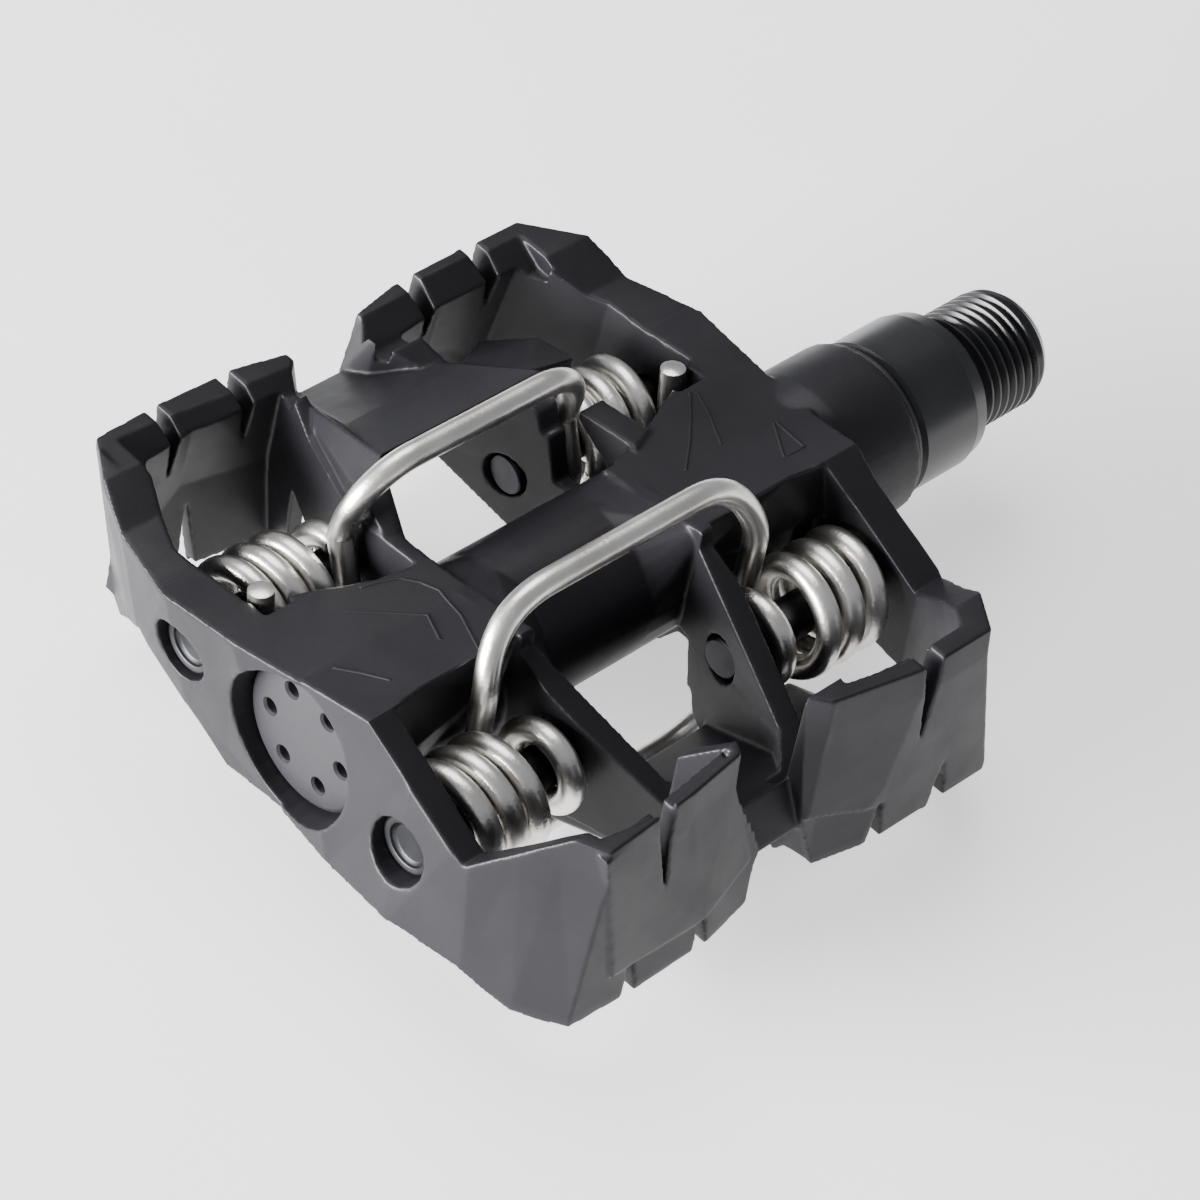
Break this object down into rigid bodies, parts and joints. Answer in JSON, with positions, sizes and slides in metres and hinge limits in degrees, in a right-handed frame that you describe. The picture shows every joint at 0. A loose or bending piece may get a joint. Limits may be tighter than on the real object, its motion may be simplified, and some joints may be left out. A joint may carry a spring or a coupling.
{
  "type": "clipless bicycle pedal",
  "caption": "Double-sided clipless pedal: lugged black body turning on a threaded steel axle, with spring-wire bails that hold a shoe cleat on either face.",
  "frame": {"origin": "on the axle axis, at the middle of the overall box", "axes": "+X along the axle towards the crank, +Y forward, +Z out of the upper pedalling face; the body is unchanged by half a turn about X"},
  "size_m": [0.109, 0.0774, 0.0367],
  "materials": {
    "black_composite": "moulded glass-filled nylon, fine matte grain",
    "black_steel": "black oxide, satin",
    "seal_rubber": "matte",
    "bush_plastic": "plain bearing plastic",
    "bearing_steel": "ground bearing steel",
    "cap_plastic": "moulded, matte",
    "pin_steel": "dark turned steel",
    "nickel_wire": "bright spring wire"
  },
  "bodies": {
    "axle_set": {"axle": "black_steel", "bearing_inner_ring": "bearing_steel", "spacer_washer": "bearing_steel", "lock_nut": "bearing_steel"},
    "pedal_set": {"pedal_body": "black_composite", "dust_seal": "seal_rubber", "inboard_bush": "bush_plastic", "bearing_outer_ring": "bearing_steel", "end_cap": "cap_plastic", "pin_outboard_front": "pin_steel", "pin_outboard_rear": "pin_steel", "pin_inboard_front": "pin_steel", "pin_inboard_rear": "pin_steel", "coil_left_top": "nickel_wire", "coil_right_top": "nickel_wire", "coil_left_low": "nickel_wire", "coil_right_low": "nickel_wire"},
    "ball_set": {"bearing_ball_1": "bearing_steel", "bearing_ball_2": "bearing_steel", "bearing_ball_3": "bearing_steel", "bearing_ball_4": "bearing_steel", "bearing_ball_5": "bearing_steel", "bearing_ball_6": "bearing_steel", "bearing_ball_7": "bearing_steel"},
    "sprung_top": {"sprung_bail_top": "nickel_wire"},
    "sprung_low": {"sprung_bail_low": "nickel_wire"},
    "fixed_top": {"fixed_bail_top": "nickel_wire"},
    "fixed_low": {"fixed_bail_low": "nickel_wire"}
  },
  "joints": [
    {"name": "pedal_spin", "type": "hinge", "parent": "axle_set", "child": "pedal_set", "pos_m": [0, 0, 0], "axis": [1, 0, 0], "continuous": true},
    {"name": "ball_orbit", "type": "hinge", "parent": "axle_set", "child": "ball_set", "pos_m": [-0.0419, 0, 0], "axis": [1, 0, 0], "continuous": true},
    {"name": "sprung_top_hinge", "type": "hinge", "parent": "pedal_set", "child": "sprung_top", "pos_m": [-0.018, -0.01673, 0], "axis": [1, 0, 0], "range_deg": [0, 18], "stiffness_Nm_per_rad": 2, "springref_deg": -5.73},
    {"name": "sprung_low_hinge", "type": "hinge", "parent": "pedal_set", "child": "sprung_low", "pos_m": [-0.018, 0.01673, 0], "axis": [1, 0, 0], "range_deg": [0, 18], "stiffness_Nm_per_rad": 2, "springref_deg": -5.73},
    {"name": "fixed_top_hinge", "type": "hinge", "parent": "pedal_set", "child": "fixed_top", "pos_m": [-0.018, 0.01673, 0], "axis": [-1, 0, 0], "range_deg": [0, 7]},
    {"name": "fixed_low_hinge", "type": "hinge", "parent": "pedal_set", "child": "fixed_low", "pos_m": [-0.018, -0.01673, 0], "axis": [-1, 0, 0], "range_deg": [0, 7]}
  ],
  "couplings": [
    {"joint": "ball_orbit", "follows": "pedal_spin", "ratio": 0.567}
  ]
}
